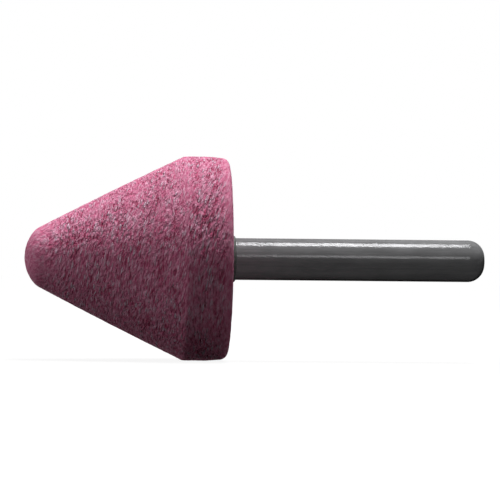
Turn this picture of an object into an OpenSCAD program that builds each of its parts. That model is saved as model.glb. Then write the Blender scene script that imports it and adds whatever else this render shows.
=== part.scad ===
// Conical mounted point: an abrasive head cemented on a plain steel spindle.
// The axis of turning is X. The head lies towards -X, the free end of the shank towards +X.
// The origin is on the axis where the bare shank leaves the cement ring behind the head.
// Sizes in millimetres, angles in degrees.

/* [Head] */

// Diameter of the head across its straight land
head_d = 31; // [25:0.1:40]
// Length of the head from its tip to its flat back face
head_len = 30.9; // [27:0.1:45]
// Radius of the ball that ends the cone
tip_r = 5.6; // [2:0.1:9]
// Length of the land from the cone to the back face, back rounding included
land_len = 6.85; // [5.5:0.05:10]
// Rounding between the cone and the land
shoulder_r = 1.2; // [0.4:0.1:4]
// Rounding of the back edge of the head
back_r = 1.7; // [0.4:0.1:3]

/* [Spindle] */

// Diameter of the ground shank that a collet grips
shank_d = 6.35; // [5.5:0.05:8]
// Length of the shank from the back face of the head to its free end
shank_len = 39.1; // [20:0.1:70]
// Rounding of the free end of the shank
end_r = 2.55; // [0.5:0.05:2.6]
// Length of the knurled root from the back face into the head
root_len = 15; // [8:0.5:17]
// Step from the ground shank down to the crests of the knurl
root_step = 0.2; // [0.16:0.01:0.4]
// Chamfer at the inner end of the root
root_chamfer = 0.5; // [0.2:0.05:0.8]
// Number of teeth of the straight knurl
knurl_teeth = 28; // [16:1:40]
// Depth of the grooves of the knurl
knurl_depth = 0.28; // [0.1:0.02:0.4]
// Share of each tooth that is flat crest
knurl_crest = 0.4; // [0.2:0.05:0.6]

/* [Cement] */

// Thickness of the cement between the crests of the knurl and the bore
cement_gap = 0.4; // [0.2:0.05:0.8]
// Thickness of the cement between the end of the root and the floor of the bore
cement_pad = 0.8; // [0.2:0.1:2]
// Height of the cement ring that stands out of the mouth of the bore
ring_h = 1.1; // [0.5:0.05:2]
// Width by which the cement ring laps over the back face beside the bore
ring_lap = 0.19; // [0.05:0.01:0.6]

/* [Hidden] */

$fn = 96;

head_r = head_d / 2;
shank_r = shank_d / 2;
back_x = -ring_h;
tip_x = back_x - head_len;
shank_end_x = back_x + shank_len;

// Cone: the line from the outer corner of the land that touches the ball of the tip
ball_x = tip_x + tip_r;
corner_x = back_x - land_len;
corner_run = corner_x - ball_x;
corner_reach = sqrt(corner_run * corner_run + head_r * head_r);
cone_half = atan2(head_r, corner_run) - asin(tip_r / corner_reach);
shoulder_t = shoulder_r * tan(cone_half / 2);

// Root and bore, from the shank inwards
crest_r = shank_r - root_step;
groove_r = crest_r - knurl_depth;
root_end_x = back_x - root_len;
bore_r = crest_r + cement_gap;
bore_end_x = root_end_x - cement_pad;

// Ring: a short collar whose outer end is rounded down to the shank
ring_r = max(bore_r, shank_r) + ring_lap;
ring_round = min(ring_r - shank_r, ring_h / 2);

// Cutters and joined pieces reach this far past each other
overlap = 0.5;
// The line of the cone ends this little inside its roundings, so that they always cross
tuck = 0.0001;

// Turns a flat profile of [radius, place along X] round the X axis
module turned() {
  rotate([0, 90, 0])
    rotate_extrude()
      children();
}

// The half of the profile plane that may be turned
module turned_side() {
  translate([0, tip_x - overlap])
    square([head_r + overlap, head_len + shank_len + 2 * overlap]);
}

// Outline of the head: straight lines joined by the ball of the tip and the two roundings
module head_profile() {
  ball_c = [0, ball_x];
  shoulder_c = [head_r - shoulder_r, corner_x + shoulder_t];
  back_c = [head_r - back_r, back_x - back_r];
  cone_normal = [cos(cone_half), -sin(cone_half)];
  polygon([
    ball_c,
    ball_c + (tip_r - tuck) * cone_normal,
    shoulder_c + (shoulder_r - tuck) * cone_normal,
    shoulder_c + [shoulder_r, 0],
    back_c + [back_r, 0],
    back_c + [0, back_r],
    [0, back_x]
  ]);
  intersection() {
    translate(ball_c)
      circle(tip_r);
    turned_side();
  }
  translate(shoulder_c)
    circle(shoulder_r);
  translate(back_c)
    circle(back_r);
}

// Abrasive stone with its blind bore
module abrasive_head() {
  color("palevioletred")
    turned()
      difference() {
        head_profile();
        translate([0, bore_end_x])
          square([bore_r, back_x - bore_end_x + overlap]);
      }
}

// Cross-section of the straight knurl: a flat crest and a V groove for each tooth
module knurl_section() {
  pitch = 360 / knurl_teeth;
  half_crest = pitch * knurl_crest / 2;
  tooth = [[-half_crest, crest_r], [half_crest, crest_r], [pitch / 2, groove_r]];
  polygon([
    for (i = [0 : knurl_teeth - 1], p = tooth)
      p[1] * [cos(i * pitch + p[0]), sin(i * pitch + p[0])]
  ]);
}

// Knurled root with its chamfered inner end, reaching a little into the ground shank
module root() {
  intersection() {
    translate([root_end_x, 0, 0])
      rotate([0, 90, 0])
        linear_extrude(height = overlap - root_end_x)
          knurl_section();
    turned()
      polygon([
        [0, root_end_x],
        [crest_r - root_chamfer, root_end_x],
        [crest_r + overlap, root_end_x + root_chamfer + overlap],
        [crest_r + overlap, 2 * overlap],
        [0, 2 * overlap]
      ]);
  }
}

// Steel spindle: ground shank with a rounded free end, on the knurled root
module spindle() {
  color("dimgray") {
    turned()
      union() {
        square([shank_r, shank_end_x - end_r]);
        square([shank_r - end_r, shank_end_x]);
        intersection() {
          translate([shank_r - end_r, shank_end_x - end_r])
            circle(end_r);
          turned_side();
        }
      }
    root();
  }
}

// Cement: fills the bore round the root and ends in the round-edged ring
module cement_bond() {
  color("darkslategray")
    difference() {
      turned()
        union() {
          translate([0, bore_end_x])
            square([bore_r, back_x - bore_end_x]);
          translate([0, back_x])
            square([ring_r, ring_h - ring_round]);
          translate([0, back_x])
            square([ring_r - ring_round, ring_h]);
          translate([ring_r - ring_round, -ring_round])
            circle(ring_round);
        }
      root();
    }
}

abrasive_head();
spindle();
cement_bond();
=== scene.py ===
"""Looks of the conical mounted point: grainy pink stone, dark steel spindle, cement ring."""

import math

import bmesh
import bpy
import numpy as np
from mathutils import Matrix, Vector, noise

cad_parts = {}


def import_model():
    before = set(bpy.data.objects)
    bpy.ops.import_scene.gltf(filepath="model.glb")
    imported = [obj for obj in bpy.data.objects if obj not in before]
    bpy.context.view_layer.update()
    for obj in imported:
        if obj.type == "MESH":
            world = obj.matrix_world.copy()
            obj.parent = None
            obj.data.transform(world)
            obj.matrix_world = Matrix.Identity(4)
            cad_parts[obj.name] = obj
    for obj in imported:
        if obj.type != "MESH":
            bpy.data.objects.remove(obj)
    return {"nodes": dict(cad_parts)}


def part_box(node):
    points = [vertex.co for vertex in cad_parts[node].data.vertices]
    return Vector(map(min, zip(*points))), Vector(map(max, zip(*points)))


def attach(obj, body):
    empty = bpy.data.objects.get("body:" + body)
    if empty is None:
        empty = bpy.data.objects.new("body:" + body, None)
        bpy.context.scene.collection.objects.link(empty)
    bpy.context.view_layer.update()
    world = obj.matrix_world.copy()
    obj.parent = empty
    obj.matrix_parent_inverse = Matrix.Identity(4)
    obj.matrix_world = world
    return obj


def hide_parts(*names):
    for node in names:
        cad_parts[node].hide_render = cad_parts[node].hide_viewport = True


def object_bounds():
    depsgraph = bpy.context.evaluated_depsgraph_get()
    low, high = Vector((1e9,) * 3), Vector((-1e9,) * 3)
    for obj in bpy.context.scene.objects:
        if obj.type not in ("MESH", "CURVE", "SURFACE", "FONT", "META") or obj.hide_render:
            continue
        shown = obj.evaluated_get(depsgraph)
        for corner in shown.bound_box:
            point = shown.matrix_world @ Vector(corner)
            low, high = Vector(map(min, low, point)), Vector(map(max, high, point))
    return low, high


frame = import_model()
CAD_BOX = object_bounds()
MM = 0.001
QUARTER = math.pi / 2

# Sizes of the turned forms, as in the part's source
TIP_R = 5.6 * MM
LAND_LEN = 6.85 * MM
SHOULDER_R = 1.2 * MM
BORE_R = 3.375 * MM
SHANK_R = 3.175 * MM
END_R = 2.55 * MM
CREST_R = 2.975 * MM
GROOVE_R = 2.695 * MM
KNURL_TEETH = 28
KNURL_CREST = 0.4
ROOT_CHAMFER = 0.5 * MM

# The stone's small departures from its ideal outline, as the photograph shows them:
# a blunt crown, a flank that bows out, and a land that falls a little to a tight back edge
CROWN_R = 6.1 * MM
CROWN_EDGE_R = 3.0 * MM
FLANK_SWELL = 0.10 * MM
BACK_FALL = math.radians(4.5)
BACK_FALL_LEN = 3.1 * MM
BACK_EDGE_R = 1.2 * MM

# Fineness of the turned meshes
STONE_TURNS = 384
STONE_STEP = 0.172 * MM
BACK_STEP = 0.42 * MM
BORE_STEP = 1.0 * MM
SHANK_TURNS = 168
SHANK_STEP = 1.0 * MM
END_STEPS = 40
ARC_STEPS = 120
SHORT_ARC_STEPS = 60
FLANK_STEPS = 100

# Radius below which a point lies on the axis, and angle from which the spindle's edges stay sharp
ON_AXIS = 1e-9
SHARP = math.radians(40)

# Pits of the stone: weight and scale of each noise that makes them, the sum of noises from which the
# stone stands full, the depth for each unit below it, and the most units
PIT_NOISES = ((0.6, 1.7), (0.4, 4.0))
PIT_LEVEL = 0.45
PIT_DEPTH = 0.05 * MM
PIT_MOST = 1.2

# Width of the belt round the bore's mouth that has no pits, and again of the belt where they set in
PIT_FREE = 0.5 * MM

# Length from the back face within which the bore ends
BORE_ZONE = 20 * MM

# How far the stone's grain is drawn out round the axis and along the outline, by place, and how it leans
CONE_STRETCH = 2.2
LAND_STRETCH = 2.9
LAND_FADE = 2.0 * MM
TIP_ROUND = 0.9
TIP_ALONG = 2.6
TIP_FADE = (4.0, 8.5)
BACK_GRAIN = 0.8
GRAIN_LEAN = 0.20
GRAIN_CURVE = 0.007

# Where the grain is worn smooth, in mm along the outline, and how much of it is lost there
WORN_BALL = (4.5, 10.0)
WORN_REACH = 1.0
WORN_SHOULDER = 0.4
WORN_BACK = 1.0
WORN_LOSS = 0.76

# Stone, colours as they show under plain light, linear
STONE_STREAKS = ((0.30, (0.62, 0.110, 0.240)), (0.50, (0.79, 0.243, 0.402)), (0.70, (0.88, 0.425, 0.585)))
# Glint specks and pale chips: partly the grains' own pale colour, partly painted highlight for the grains'
# glints and lit facets
STONE_GLINT = (0.96, 0.510, 0.690, 1.0)
STONE_PORE = (0.56, 0.070, 0.170, 1.0)
STONE_PALE_AND_HIGHLIGHT = (0.99, 0.660, 0.820, 1.0)
STONE_DEEP = (0.56, 0.065, 0.165, 1.0)
STONE_SPECULAR = 0.25

# Stone, noises over the grain's own mm: scale, detail, roughness and distortion
STREAK_NOISE = (2.6, 3.0, 0.7, 0.3)
ROLLING_NOISE = (2.5, 2.0, 0.65, 0.3)
PATCH_NOISE = (0.20, 2.0, 0.5, 0.0)
ZONE_NOISE = (0.38, 3.0, 0.6, 0.0)

# Stone, levels that go with those noises, as (noise, level)
ZONE_RUGGED = ((0.36, 0.50), (0.57, 0.96))
PATCH_TONE = ((0.35, 0.92), (0.65, 1.0))
STREAK_ROUGH = ((0.3, 0.98), (0.7, 0.84))

# Stone, its chips and finer specks: scale, distances from a cell's middle at which one begins and ends
# to fade, and the cells' numbers at which none and all are picked
CHIP_SCALE = 2.5
CHIP_FADE = (0.28, 0.46)
SPECK_SCALE = 3.4
SPECK_FADE = (0.34, 0.56)
PALE_PICK = (0.59, 0.73)
DEEP_PICK = (0.41, 0.25)
GLINT_PICK = (0.62, 0.78)
PORE_PICK = (0.38, 0.24)

# Stone, how far its chips are bent and drawn, and the heights of its bump
BEND_SCALE = 2.2
BEND_DETAIL = 1.0
BEND = 0.35
CHIP_SHAPE = (1.15, 0.62, 0.62)
CHIP_RAISE = 0.34
GRAIN_BUMP = 1.0 * MM

# Steel: colours, scales that draw its marks and clouds out along the shank, noises, roughness and bump
STEEL_CLOUDS = ((0.35, (0.19, 0.19, 0.194)), (0.65, (0.26, 0.26, 0.265)))
MARKS_SCALE = (90.0, 2600.0, 2600.0)
CLOUD_SCALE = (260.0, 700.0, 700.0)
MARKS_NOISE = (1.0, 3.0, 0.5, 0.0)
CLOUD_NOISE = (1.0, 2.0, 0.5, 0.0)
GRIT_NOISE = (1900.0, 2.0, 0.5, 0.0)
STEEL_ROUGH = 0.09
STEEL_ROUGH_VARIES = 0.06
MARKS_RAISE = 0.15
STEEL_BUMP = 0.05 * MM
STEEL_BUMP_STRENGTH = 0.4
STEEL_METALLIC = 0.065

# Cement
CEMENT_LUMPS = ((0.3, (0.125, 0.133, 0.124)), (0.7, (0.205, 0.216, 0.204)))
CEMENT_NOISE = (2400.0, 3.0, 0.5, 0.0)
CEMENT_BUMP = 0.1 * MM
CEMENT_BUMP_STRENGTH = 0.5
CEMENT_ROUGH = 0.85
CEMENT_SPECULAR = 0.1

# Floor: its side, its own glow near the part and far from it, and its greys for seen and unseen light
WHITE = (1.0, 1.0, 1.0, 1.0)
FLOOR_SIZE = 4.0
FLOOR_GLOW = 0.90
FLOOR_NEAR = 0.05
FLOOR_FAR = 0.20
FLOOR_SHADED = 0.10
FLOOR_BOUNCE = 0.02

# Lamps: name, degrees of azimuth from +X towards +Y and of elevation, distance from the point they aim
# at, width and height, and radiance
LAMPS = (
    ("key", 21.3886, 82.5831, 0.5, (0.067, 0.21), 53.0),
    ("left_top", 185, 52, 0.6, (0.4, 0.4), 1.0),
    ("back_right", 60, 46, 0.6, (0.3, 0.3), 4.4),
    ("left_fill", 182, 12, 0.7, (0.3, 0.3), 2.9),
    ("front_fill", 277.5, 18, 0.6, (0.075, 0.11), 11.0),
)
LAMP_AIM = (3 * MM, 0.0, 0.0)

# Upward share of a lamp's direction past which it counts as overhead
OVERHEAD = 0.9

# Camera, fitted to the photograph's outlines
CAMERA_AT = (-45.421 * MM, -714.709 * MM, 0.999 * MM)
CAMERA_YAW = -0.06658
CAMERA_PITCH = 0.00054
CAMERA_ROLL = 0.00999
CAMERA_CLIP = 5 * MM
FOCAL_PX = 4714.6
IMAGE_PX = 500
SENSOR_MM = 36.0


def arc(cx, cr, radius, start, end, steps):
    """Points (x, r) of an arc, angles counted from -X towards +r."""
    turn = np.linspace(start, end, steps)
    return np.stack([cx - radius * np.cos(turn), cr + radius * np.sin(turn)], 1)


def run_along(points):
    """Way along a line to each of its points."""
    return np.r_[0, np.cumsum(np.hypot(*np.diff(points, axis=0).T))]


def evenly(points, step):
    """The same line with points at even steps along it, ends kept."""
    points = np.asarray(points, float)
    way = run_along(points)
    count = max(2, int(math.ceil(way[-1] / step)) + 1)
    at = np.linspace(0, way[-1], count)
    return np.stack([np.interp(at, way, points[:, 0]), np.interp(at, way, points[:, 1])], 1)


def swollen(start, end, most):
    """Points between two ends of a line that bows out by a little at its middle."""
    share = np.linspace(0, 1, FLANK_STEPS)[1:-1, None]
    along = end - start
    out = np.array((-along[1], along[0])) / np.hypot(*along)
    return start + share * along + most * np.sin(math.pi * share) * out


def tip_outline(tip_x, half):
    """The tip's crown, and the rounding that leads from it to a flank of that half angle."""
    crown_x, inset = tip_x + CROWN_R, CROWN_R - CROWN_EDGE_R
    reach = TIP_R - CROWN_EDGE_R + math.sin(half) * (CROWN_R - TIP_R)
    end = math.asin(reach / inset) - half
    crown = arc(crown_x, 0, CROWN_R, 0, end, ARC_STEPS)
    edge_x, edge_r = crown_x - inset * math.cos(end), inset * math.sin(end)
    edge = arc(edge_x, edge_r, CROWN_EDGE_R, end, QUARTER - half, SHORT_ARC_STEPS)
    return np.concatenate([crown, edge[1:]])


def back_outline(back_x, radius):
    """The end of the land, which falls a little, and the rounding that leads from it to the back face."""
    fall_x, edge_x = back_x - BACK_FALL_LEN, back_x - BACK_EDGE_R
    fall = math.tan(BACK_FALL) * (edge_x - fall_x)
    edge_r = radius - fall - BACK_EDGE_R / math.cos(BACK_FALL)
    rounding = arc(edge_x, edge_r, BACK_EDGE_R, QUARTER + BACK_FALL, math.pi, ARC_STEPS)
    return np.concatenate([[(fall_x, radius)], rounding])


def stone_outline():
    """Outline of the stone from its tip into the bore, and the row where the back face begins."""
    low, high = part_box("abrasive_head")
    radius, back_x = high.z, high.x
    corner_x = back_x - LAND_LEN
    run = corner_x - low.x - TIP_R
    half = math.atan2(radius, run) - math.asin(TIP_R / math.hypot(run, radius))
    shoulder_x = corner_x + SHOULDER_R * math.tan(half / 2)
    shoulder_r = radius - SHOULDER_R
    shoulder = arc(shoulder_x, shoulder_r, SHOULDER_R, QUARTER - half, QUARTER, SHORT_ARC_STEPS)
    tip = tip_outline(low.x, half)
    flank = swollen(tip[-1], shoulder[0], FLANK_SWELL)
    outside = evenly(np.concatenate([tip, flank, shoulder, back_outline(back_x, radius)]), STONE_STEP)
    back = evenly([outside[-1], (back_x, BORE_R)], BACK_STEP)[1:]
    floor_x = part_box("cement_bond")[0].x
    bore = np.array([(back_x - BORE_STEP, BORE_R), (floor_x, BORE_R), (floor_x, 0.0)])
    return np.concatenate([outside, back, bore]), len(outside) - 1


def around(turns):
    """Angles of the points of one ring, from +Y towards +Z."""
    return np.arange(turns) * 2 * math.pi / turns


def turned_mesh(name, outline, turns):
    """Mesh of an outline turned round X, a grid with one point at each end that lies on the axis."""
    angle = around(turns)
    points, rings = [], []
    for x, r in outline:
        if r < ON_AXIS:
            rings.append([len(points)] * turns)
            points.append((x, 0.0, 0.0))
        else:
            rings.append(list(range(len(points), len(points) + turns)))
            points.extend(zip([x] * turns, r * np.cos(angle), r * np.sin(angle)))
    faces = []
    for a, b in zip(rings, rings[1:]):
        for i in range(turns):
            j = (i + 1) % turns
            corners = [a[i], a[j], b[j], b[i]]
            faces.append(tuple(dict.fromkeys(corners)))
    mesh = bpy.data.meshes.new(name)
    mesh.from_pydata(points, [], faces)
    mesh.validate()
    mesh.update()
    mesh.shade_smooth()
    return mesh


def piece(name, mesh, node, material):
    """Object for a mesh that stands for a CAD node."""
    made = bpy.data.objects.new(name, mesh)
    bpy.context.scene.collection.objects.link(made)
    mesh.materials.append(material)
    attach(made, "root")
    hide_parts(node)


def graph(name):
    """New node material with its Principled shader."""
    material = bpy.data.materials.new(name)
    material.use_nodes = True
    return material, material.node_tree, material.node_tree.nodes["Principled BSDF"]


def put(tree, kind, links=(), values=(), **settings):
    """Adds a node with its settings, input values and links to its inputs."""
    made = tree.nodes.new(kind)
    for key, value in settings.items():
        setattr(made, key, value)
    for key, value in dict(values).items():
        made.inputs[key].default_value = value
    for key, source in dict(links).items():
        tree.links.new(source, made.inputs[key])
    return made


def grey(value):
    """Opaque grey of a level."""
    return (value, value, value, 1.0)


def ramp(tree, source, stops):
    """Colour ramp through (place, colour) stops."""
    made = put(tree, "ShaderNodeValToRGB", {"Fac": source})
    line = made.color_ramp
    while len(line.elements) < len(stops):
        line.elements.new(0.5)
    for element, (place, colour) in zip(line.elements, stops):
        element.position = place
        element.color = colour if len(colour) == 4 else (*colour, 1.0)
    return made.outputs["Color"]


def grey_ramp(tree, source, stops):
    """Ramp of greys through (place, level) stops."""
    return ramp(tree, source, [(place, grey(level)) for place, level in stops])


def feed(tree, socket, source):
    """Links a socket to an input, or sets the input to a plain value."""
    if hasattr(source, "links"):
        tree.links.new(source, socket)
    else:
        socket.default_value = source


def blended(tree, share, first, second, mode="MIX"):
    """Mix of two colours by a share."""
    made = put(tree, "ShaderNodeMix", data_type="RGBA", blend_type=mode)
    for key, source in (("Factor", share), ("A", first), ("B", second)):
        feed(tree, next(s for s in made.inputs if s.name == key and s.enabled), source)
    return next(s for s in made.outputs if s.enabled)


def maths(tree, operation, first, second):
    """Math node on sockets or numbers."""
    made = put(tree, "ShaderNodeMath", operation=operation)
    for socket, source in zip(made.inputs, (first, second)):
        feed(tree, socket, source)
    return made.outputs["Value"]


def noise_of(tree, where, settings):
    """Value of a noise texture with its scale, detail, roughness and distortion."""
    values = zip(("Scale", "Detail", "Roughness", "Distortion"), settings)
    return put(tree, "ShaderNodeTexNoise", {"Vector": where}, values).outputs["Fac"]


def raise_surface(tree, shader, height, distance, strength):
    """Bump of a height on a shader."""
    bump = put(tree, "ShaderNodeBump", {"Height": height}, {"Distance": distance})
    feed(tree, bump.inputs["Strength"], strength)
    tree.links.new(bump.outputs["Normal"], shader.inputs["Normal"])


def chip_places(tree, grain):
    """The grain's places, bent a little and drawn to the shape of its chips."""
    bend = put(tree, "ShaderNodeTexNoise", {"Vector": grain}, {"Scale": BEND_SCALE, "Detail": BEND_DETAIL})
    shift = put(tree, "ShaderNodeVectorMath", {0: bend.outputs["Color"]}, {1: (BEND, BEND, BEND)},
                operation="MULTIPLY").outputs[0]
    bent = put(tree, "ShaderNodeVectorMath", {0: grain, 1: shift}, operation="ADD").outputs[0]
    return put(tree, "ShaderNodeVectorMath", {0: bent}, {1: CHIP_SHAPE}, operation="MULTIPLY").outputs[0]


def chips_of(tree, where, scale, fade):
    """Irregular chips, one in each cell, and a random number for each."""
    cells = put(tree, "ShaderNodeTexVoronoi", {"Vector": where}, {"Scale": scale}, feature="F1")
    number = put(tree, "ShaderNodeSeparateColor", {"Color": cells.outputs["Color"]}).outputs["Red"]
    chip = put(tree, "ShaderNodeMapRange", {"Value": cells.outputs["Distance"]},
               {"From Min": fade[0], "From Max": fade[1], "To Min": 1.0, "To Max": 0.0},
               interpolation_type="SMOOTHSTEP")
    return chip.outputs["Result"], number


def picked(tree, chips, pick):
    """The chips picked by their number: none of them at the first number, all of them at the second."""
    chip, number = chips
    stops = sorted([(pick[0], 0.0), (pick[1], 1.0)])
    return maths(tree, "MULTIPLY", chip, grey_ramp(tree, number, stops))


def ruggedness(tree, grain):
    """How strong the grain is: less in some zones, and least where it is worn."""
    rugged = grey_ramp(tree, noise_of(tree, grain, ZONE_NOISE), ZONE_RUGGED)
    worn = put(tree, "ShaderNodeAttribute", attribute_name="worn").outputs["Fac"]
    kept = maths(tree, "SUBTRACT", 1.0, maths(tree, "MULTIPLY", worn, WORN_LOSS))
    return maths(tree, "MULTIPLY", rugged, kept)


def stone_material():
    """Mottled pink stone: soft streaks, with pale raised strokes and deep pink pits over them. The pale
    strokes and the glint specks are partly the grains' own pale colour and partly painted highlight.
    """
    material, tree, shader = graph("pink_stone")
    grain = put(tree, "ShaderNodeAttribute", attribute_name="grain").outputs["Vector"]
    rugged = ruggedness(tree, grain)
    where = chip_places(tree, grain)
    chips = chips_of(tree, where, CHIP_SCALE, CHIP_FADE)
    specks = chips_of(tree, where, SPECK_SCALE, SPECK_FADE)
    pale = picked(tree, chips, PALE_PICK)
    deep = picked(tree, chips, DEEP_PICK)
    glint = picked(tree, specks, GLINT_PICK)
    pore = picked(tree, specks, PORE_PICK)

    streak = noise_of(tree, grain, STREAK_NOISE)
    base = ramp(tree, streak, STONE_STREAKS)
    # The glint and pale layers are partly painted highlight, laid over the grains' own pale colour
    for share, colour in ((glint, STONE_GLINT), (pore, STONE_PORE), (pale, STONE_PALE_AND_HIGHLIGHT), (deep, STONE_DEEP)):
        base = blended(tree, maths(tree, "MULTIPLY", share, rugged), base, colour)
    tone = grey_ramp(tree, noise_of(tree, grain, PATCH_NOISE), PATCH_TONE)
    tree.links.new(blended(tree, 1.0, base, tone, "MULTIPLY"), shader.inputs["Base Color"])

    rolling = noise_of(tree, grain, ROLLING_NOISE)
    raised = maths(tree, "MULTIPLY", maths(tree, "SUBTRACT", pale, deep), CHIP_RAISE)
    raise_surface(tree, shader, maths(tree, "ADD", rolling, raised), GRAIN_BUMP, rugged)
    tree.links.new(grey_ramp(tree, streak, STREAK_ROUGH), shader.inputs["Roughness"])
    shader.inputs["Specular IOR Level"].default_value = STONE_SPECULAR
    return material


def steel_material():
    """Dark ground steel with fine marks along the shank."""
    material, tree, shader = graph("dark_steel")
    place = put(tree, "ShaderNodeTexCoord").outputs["Object"]
    along = put(tree, "ShaderNodeMapping", {"Vector": place}, {"Scale": MARKS_SCALE}).outputs["Vector"]
    broad = put(tree, "ShaderNodeMapping", {"Vector": place}, {"Scale": CLOUD_SCALE}).outputs["Vector"]
    marks = noise_of(tree, along, MARKS_NOISE)
    both = maths(tree, "ADD", noise_of(tree, broad, CLOUD_NOISE), marks)
    colour = ramp(tree, maths(tree, "DIVIDE", both, 2.0), STEEL_CLOUDS)
    tree.links.new(colour, shader.inputs["Base Color"])
    rough = maths(tree, "ADD", maths(tree, "MULTIPLY", both, STEEL_ROUGH_VARIES), STEEL_ROUGH)
    tree.links.new(rough, shader.inputs["Roughness"])
    grit = noise_of(tree, place, GRIT_NOISE)
    height = maths(tree, "ADD", maths(tree, "MULTIPLY", marks, MARKS_RAISE), grit)
    raise_surface(tree, shader, height, STEEL_BUMP, STEEL_BUMP_STRENGTH)
    shader.inputs["Metallic"].default_value = STEEL_METALLIC
    shader.inputs["Specular IOR Level"].default_value = 0.0
    shader.inputs["Specular Tint"].default_value = grey(0.0)
    return material


def cement_material():
    """Rough grey cement."""
    material, tree, shader = graph("grey_cement")
    place = put(tree, "ShaderNodeTexCoord").outputs["Object"]
    lumps = noise_of(tree, place, CEMENT_NOISE)
    tree.links.new(ramp(tree, lumps, CEMENT_LUMPS), shader.inputs["Base Color"])
    raise_surface(tree, shader, lumps, CEMENT_BUMP, CEMENT_BUMP_STRENGTH)
    shader.inputs["Roughness"].default_value = CEMENT_ROUGH
    shader.inputs["Specular IOR Level"].default_value = CEMENT_SPECULAR
    return material


def ramped(values, ends):
    """0 before the first end, 1 past the second, even between them."""
    return np.clip((values - ends[0]) / (ends[1] - ends[0]), 0, 1)


def grain_places(outline, turns):
    """Where each point of the stone reads its grain, in mm.

    The grain is drawn out round the axis, most of all on the land, and along the outline on the tip.
    """
    way = run_along(outline) / MM
    land_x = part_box("abrasive_head")[1].x - LAND_LEN
    on_cone = ramped(way, TIP_FADE)
    on_land = ramped(outline[:, 0], (land_x - LAND_FADE / 2, land_x + LAND_FADE / 2))
    before_land = TIP_ROUND + on_cone * (CONE_STRETCH - TIP_ROUND)
    round_stretch = before_land + on_land * (LAND_STRETCH - CONE_STRETCH)
    along_stretch = TIP_ALONG + on_cone * (1 - TIP_ALONG)
    along = np.r_[0, np.cumsum(np.diff(way) / along_stretch[1:])]
    angle = around(turns)
    places = []
    for r, s, stretch, share in zip(outline[:, 1], along, round_stretch, on_cone):
        if r < ON_AXIS:
            places.append((s, 0.0, 0.0))
            continue
        reach = r / MM / stretch
        height = r / MM * np.sin(angle)
        lean = share * (GRAIN_LEAN * height + GRAIN_CURVE * height ** 2)
        places.extend(zip(s - lean, reach * np.cos(angle), reach * np.sin(angle)))
    return np.array(places)


def worn_edges(outline):
    """How far the grain is worn smooth along the outline: the tip, the shoulder and the back edge."""
    way = run_along(outline) / MM
    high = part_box("abrasive_head")[1]
    in_bore = outline[:, 1] < BORE_R
    shoulder = np.argmin(np.abs(outline[:, 0] - (high.x - LAND_LEN)) + in_bore)
    back = np.argmin(np.hypot(outline[:, 0] - high.x, outline[:, 1] - high.z))
    worn = 1 - ramped(way, WORN_BALL)
    for row, share in ((shoulder, WORN_SHOULDER), (back, WORN_BACK)):
        worn = np.maximum(worn, share * np.exp(-((way - way[row]) / WORN_REACH) ** 2))
    return worn


def read(items, name, width=1, kind=np.float32):
    """A value of all items of a mesh, as an array with a row for each."""
    values = np.empty(len(items) * width, kind)
    items.foreach_get(name, values)
    return values.reshape(-1, width) if width > 1 else values


def note_grain(mesh, places, back_row):
    """Writes the grain's places to the mesh's corners. On the flat back face the grain is even."""
    point = read(mesh.loops, "vertex_index", kind=np.int32)
    sides = read(mesh.polygons, "loop_total", kind=np.int32)
    on_back = np.repeat(np.arange(len(sides)) >= back_row * STONE_TURNS, sides)
    even = 1 / (BACK_GRAIN * MM)
    flat = read(mesh.vertices, "co", 3) * (0.0, even, even)
    corners = np.where(on_back[:, None], flat[point], places[point]).astype(np.float32)
    mesh.attributes.new("grain", "FLOAT_VECTOR", "CORNER").data.foreach_set("vector", corners.ravel())


def note_wear(mesh, outline):
    """Writes to each point how far the grain is worn there."""
    copies = np.where(outline[:, 1] < ON_AXIS, 1, STONE_TURNS)
    worn = np.repeat(worn_edges(outline), copies).astype(np.float32)
    mesh.attributes.new("worn", "FLOAT", "POINT").data.foreach_set("value", worn)


def sink_pits(mesh, places):
    """Sinks the stone's points into shallow pits, but for those in the bore and round its mouth."""
    points, normals = read(mesh.vertices, "co", 3), read(mesh.vertices, "normal", 3)
    radius = np.hypot(points[:, 1], points[:, 2])
    clear = ramped(radius, (BORE_R + PIT_FREE, BORE_R + 2 * PIT_FREE))
    bore_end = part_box("abrasive_head")[1].x - BORE_ZONE
    clear = np.where(points[:, 0] < bore_end, 1.0, clear)
    height = np.empty(len(points))
    for i, place in enumerate(places):
        at = Vector(place)
        height[i] = sum(weight * noise.noise(at * scale) for weight, scale in PIT_NOISES)
    depth = np.clip(PIT_LEVEL - height, 0, PIT_MOST) * PIT_DEPTH * clear
    points -= normals * depth[:, None].astype(np.float32)
    mesh.vertices.foreach_set("co", points.ravel())
    mesh.update()


def stone():
    """The abrasive head as a dense grid with pitted faces."""
    outline, back_row = stone_outline()
    mesh = turned_mesh("stone", outline, STONE_TURNS)
    places = grain_places(outline, STONE_TURNS)
    note_grain(mesh, places, back_row)
    note_wear(mesh, outline)
    sink_pits(mesh, places)
    piece("abrasive_stone", mesh, "abrasive_head", stone_material())


def shank_mesh(end_x):
    """Ground shank with its rounded end."""
    side = evenly([(0.0, SHANK_R), (end_x - END_R, SHANK_R)], SHANK_STEP)
    end = arc(end_x - END_R, SHANK_R - END_R, END_R, QUARTER, math.pi, END_STEPS)
    return turned_mesh("shank", np.concatenate([[(0.0, 0.0)], side, end[1:], [(end_x, 0.0)]]), SHANK_TURNS)


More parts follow.
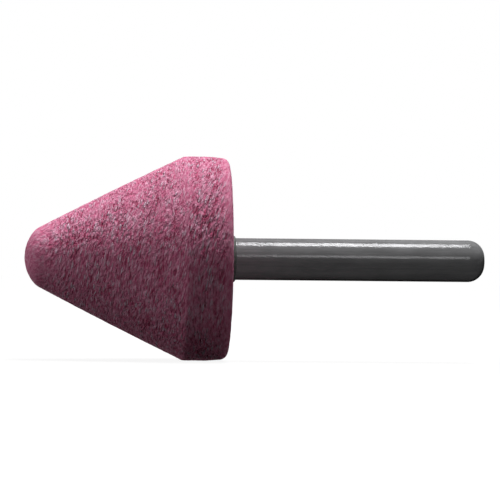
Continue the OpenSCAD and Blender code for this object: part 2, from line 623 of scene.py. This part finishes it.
def root_mesh(start_x):
    """Straight knurled root with a chamfered end."""
    pitch = 2 * math.pi / KNURL_TEETH
    half = pitch * KNURL_CREST / 2
    section = [(r, i * pitch + a) for i in range(KNURL_TEETH)
               for a, r in ((-half, CREST_R), (half, CREST_R), (pitch / 2, GROOVE_R))]
    points = []
    for x, most in ((start_x, CREST_R - ROOT_CHAMFER), (start_x + ROOT_CHAMFER, CREST_R), (0.0, CREST_R)):
        points.extend((x, min(r, most) * math.cos(a), min(r, most) * math.sin(a)) for r, a in section)
    count = len(section)
    faces = [tuple(range(count))[::-1], tuple(range(2 * count, 3 * count))]
    for first in (0, count):
        for i in range(count):
            j = (i + 1) % count
            faces.append((first + i, first + j, first + count + j, first + count + i))
    mesh = bpy.data.meshes.new("root")
    mesh.from_pydata(points, [], faces)
    mesh.update()
    return mesh


def joined(first, second):
    """One mesh out of two."""
    both = bmesh.new()
    both.from_mesh(first)
    both.from_mesh(second)
    bmesh.ops.recalc_face_normals(both, faces=both.faces)
    both.to_mesh(first)
    both.free()
    bpy.data.meshes.remove(second)
    first.update()
    first.set_sharp_from_angle(angle=SHARP)
    return first


def spindle():
    """The steel spindle: bare shank and knurled root."""
    low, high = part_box("spindle")
    mesh = joined(shank_mesh(high.x), root_mesh(low.x))
    piece("steel_spindle", mesh, "spindle", steel_material())


def dress_cement():
    """Material of the cement, which keeps its own solid."""
    node = frame["nodes"]["cement_bond"]
    node.data.materials.clear()
    node.data.materials.append(cement_material())


def share_seen(tree):
    """1 for rays from the camera, from mirrors and through glass, 0 for the rest."""
    path = put(tree, "ShaderNodeLightPath")
    seen = maths(tree, "ADD", path.outputs["Is Camera Ray"], path.outputs["Is Glossy Ray"])
    seen = maths(tree, "ADD", seen, path.outputs["Is Transmission Ray"])
    return maths(tree, "MINIMUM", seen, 1.0)


def world():
    """White to the eye and in mirrors, with no other light of its own."""
    made = bpy.data.worlds.new("studio")
    bpy.context.scene.world = made
    made.use_nodes = True
    ground = made.node_tree.nodes["Background"]
    ground.inputs["Color"].default_value = WHITE
    made.node_tree.links.new(share_seen(made.node_tree), ground.inputs["Strength"])


def floor_material():
    """White to the eye with a faint shadow, dim as a source of light."""
    material = bpy.data.materials.new("floor")
    material.use_nodes = True
    tree = material.node_tree
    tree.nodes.clear()
    place = put(tree, "ShaderNodeTexCoord").outputs["Object"]
    away = put(tree, "ShaderNodeVectorMath", {0: place}, operation="LENGTH").outputs["Value"]
    level = put(tree, "ShaderNodeMapRange", {"Value": away},
                {"From Min": FLOOR_NEAR, "From Max": FLOOR_FAR, "To Min": FLOOR_GLOW, "To Max": 1.0})
    glow = put(tree, "ShaderNodeEmission", {"Strength": level.outputs["Result"]}, {"Color": WHITE})
    shaded = put(tree, "ShaderNodeBsdfDiffuse", values={"Color": grey(FLOOR_SHADED)})
    bounce = put(tree, "ShaderNodeBsdfDiffuse", values={"Color": grey(FLOOR_BOUNCE)})
    seen = put(tree, "ShaderNodeAddShader", {0: shaded.outputs[0], 1: glow.outputs[0]})
    sources = {"Fac": share_seen(tree), 1: bounce.outputs[0], 2: seen.outputs[0]}
    both = put(tree, "ShaderNodeMixShader", sources)
    put(tree, "ShaderNodeOutputMaterial", {"Surface": both.outputs[0]})
    return material


def floor():
    """Pale floor under the land."""
    mesh = bpy.data.meshes.new("floor")
    side, z = FLOOR_SIZE / 2, CAD_BOX[0][2]
    corners = [(-side, -side, z), (side, -side, z), (side, side, z), (-side, side, z)]
    mesh.from_pydata(corners, [], [(0, 1, 2, 3)])
    mesh.materials.append(floor_material())
    made = bpy.data.objects.new("floor", mesh)
    bpy.context.scene.collection.objects.link(made)


def lamp(name, azimuth, elevation, distance, size, radiance):
    """Soft rectangular lamp that faces the part. Its width is level, or lies along X overhead."""
    data = bpy.data.lights.new(name, "AREA")
    data.shape = "RECTANGLE"
    data.size, data.size_y = size
    data.energy = radiance * math.pi * size[0] * size[1]
    made = bpy.data.objects.new(name, data)
    bpy.context.scene.collection.objects.link(made)
    az, el = math.radians(azimuth), math.radians(elevation)
    toward = Vector((math.cos(el) * math.cos(az), math.cos(el) * math.sin(az), math.sin(el)))
    level = Vector((1, 0, 0)) if toward.z > OVERHEAD else Vector((-toward.y, toward.x, 0))
    up = toward.cross(level).normalized()
    turn = Matrix((up.cross(toward), up, toward)).transposed().to_4x4()
    made.matrix_world = Matrix.Translation(Vector(LAMP_AIM) + toward * distance) @ turn
    made.visible_camera = False


def camera():
    """Camera at the place, turn and focal length that fit the photograph."""
    cy, sy = math.cos(CAMERA_YAW), math.sin(CAMERA_YAW)
    cp, sp = math.cos(CAMERA_PITCH), math.sin(CAMERA_PITCH)
    cr, sr = math.cos(CAMERA_ROLL), math.sin(CAMERA_ROLL)
    yaw = np.array([[cy, sy, 0], [-sy, cy, 0], [0, 0, 1]])
    pitch = np.array([[1, 0, 0], [0, cp, sp], [0, -sp, cp]])
    roll = np.array([[cr, 0, sr], [0, 1, 0], [-sr, 0, cr]])
    right, ahead, up = roll @ pitch @ yaw
    turn = Matrix((right, up, -ahead)).transposed().to_4x4()
    data = bpy.data.cameras.new("camera")
    data.sensor_width = SENSOR_MM
    data.lens = FOCAL_PX / IMAGE_PX * SENSOR_MM
    data.clip_start = CAMERA_CLIP
    made = bpy.data.objects.new("camera", data)
    bpy.context.scene.collection.objects.link(made)
    made.matrix_world = Matrix.Translation(Vector(CAMERA_AT)) @ turn
    bpy.context.scene.camera = made


stone()
spindle()
dress_cement()
world()
floor()
for row in LAMPS:
    lamp(*row)
camera()
bpy.context.scene.view_settings.view_transform = "Standard"
